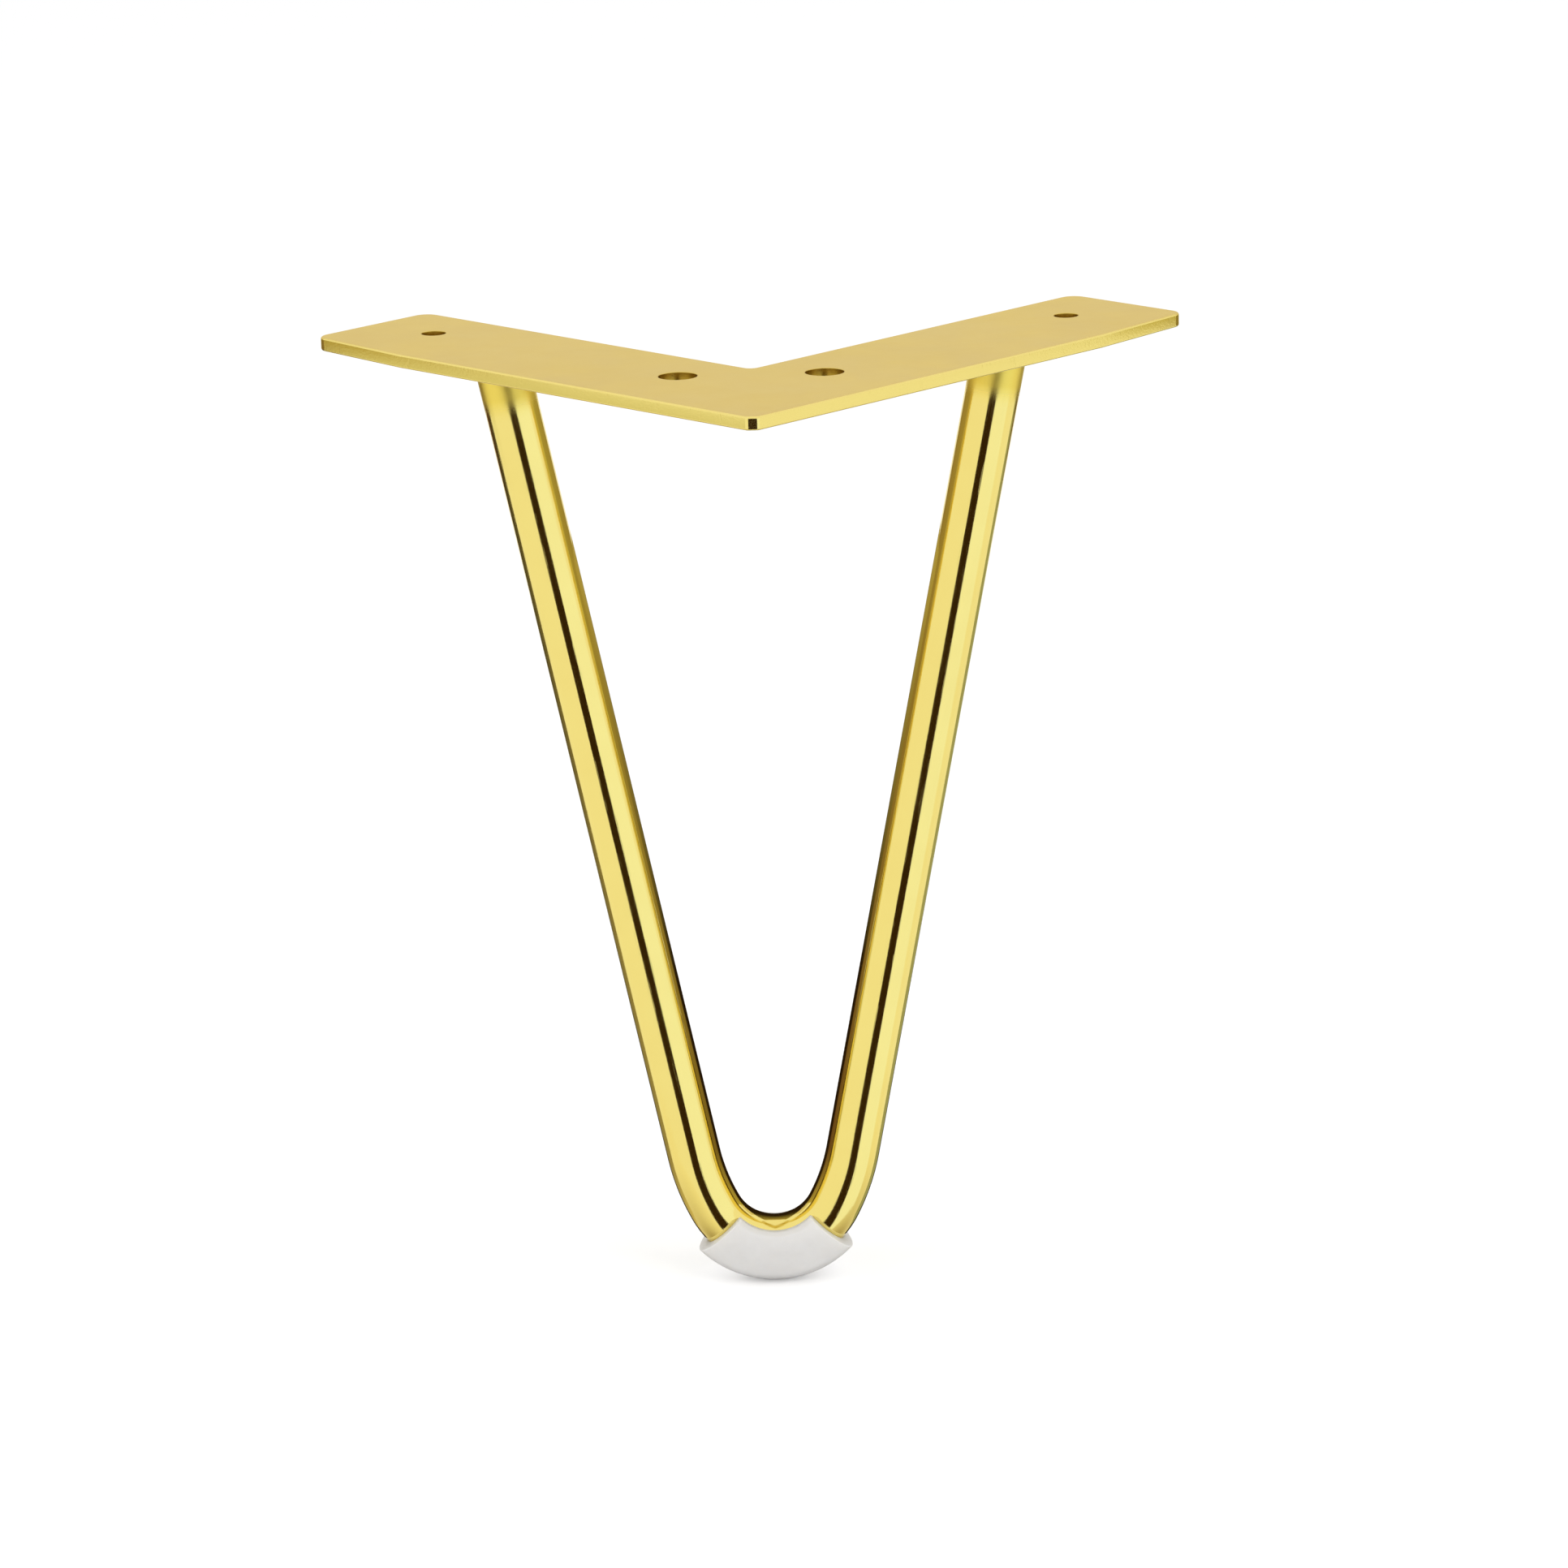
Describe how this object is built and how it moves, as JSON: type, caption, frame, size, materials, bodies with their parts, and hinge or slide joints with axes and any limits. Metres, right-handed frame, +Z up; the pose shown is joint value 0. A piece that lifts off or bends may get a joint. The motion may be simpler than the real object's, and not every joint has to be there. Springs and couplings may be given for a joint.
{
  "type": "furniture leg",
  "caption": "Hairpin furniture leg: a round steel bar bent into a narrow U and welded under a V-shaped screw-on plate, with a clip-on plastic foot sleeve.",
  "frame": {"origin": "on the plate's top face, where the centre lines of its two arms cross", "axes": "+Z up, out of the face that is screwed to the furniture; +Y towards the open side of the V; X across the bar's U"},
  "size_m": [0.1584, 0.1006, 0.18],
  "materials": {
    "gold_plated_sheet": "satin",
    "gold_plated_bar": "polished",
    "gold_plated_weld": "polished",
    "milky_plastic": "satin"
  },
  "bodies": {
    "root": {"mounting_plate": "gold_plated_sheet", "hairpin_rod": "gold_plated_bar", "left_weld_bead": "gold_plated_weld", "right_weld_bead": "gold_plated_weld", "floor_protector": "milky_plastic"}
  },
  "joints": []
}
